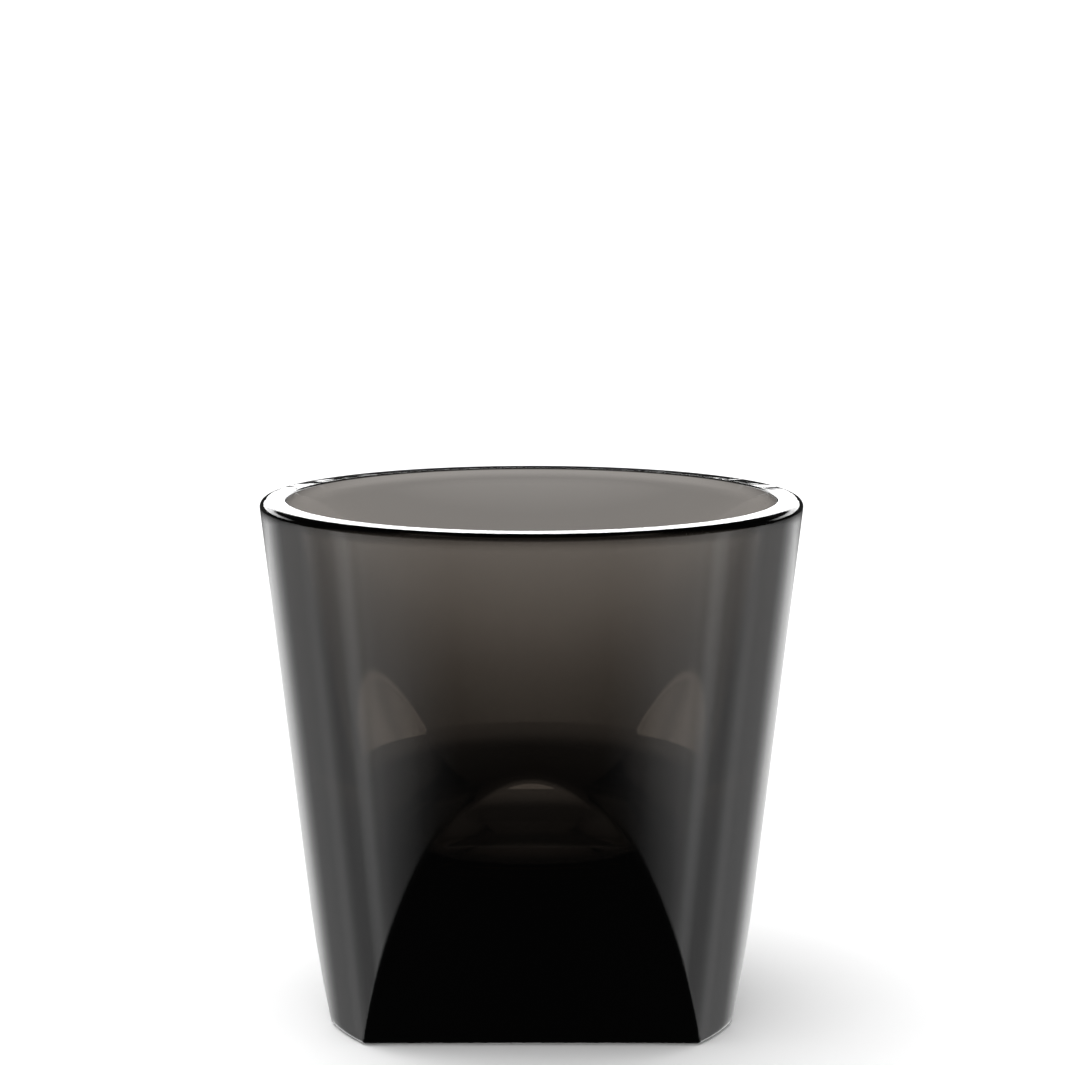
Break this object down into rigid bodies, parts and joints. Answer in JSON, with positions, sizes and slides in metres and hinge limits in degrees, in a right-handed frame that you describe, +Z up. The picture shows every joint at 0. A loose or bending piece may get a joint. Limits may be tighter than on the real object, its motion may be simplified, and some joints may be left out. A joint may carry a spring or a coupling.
{
  "type": "whiskey tumbler",
  "caption": "Round smoked glass whiskey tumbler with a thick wall, a flat lip and a deep solid base cut with flat leaning faces that end in arches.",
  "frame": {"origin": "centre of the flat foot, on the surface that the tumbler stands on", "axes": "+Z up along the tumbler's axis, -Y towards the middle of one of the cut faces, +X to the right when that face is at the front"},
  "size_m": [0.0874, 0.0874, 0.0845],
  "materials": {
    "smoked_glass": "smooth fire-polished glass tinted dark warm grey through its whole thickness"
  },
  "bodies": {
    "root": {"glass_body": "smoked_glass"}
  },
  "joints": []
}
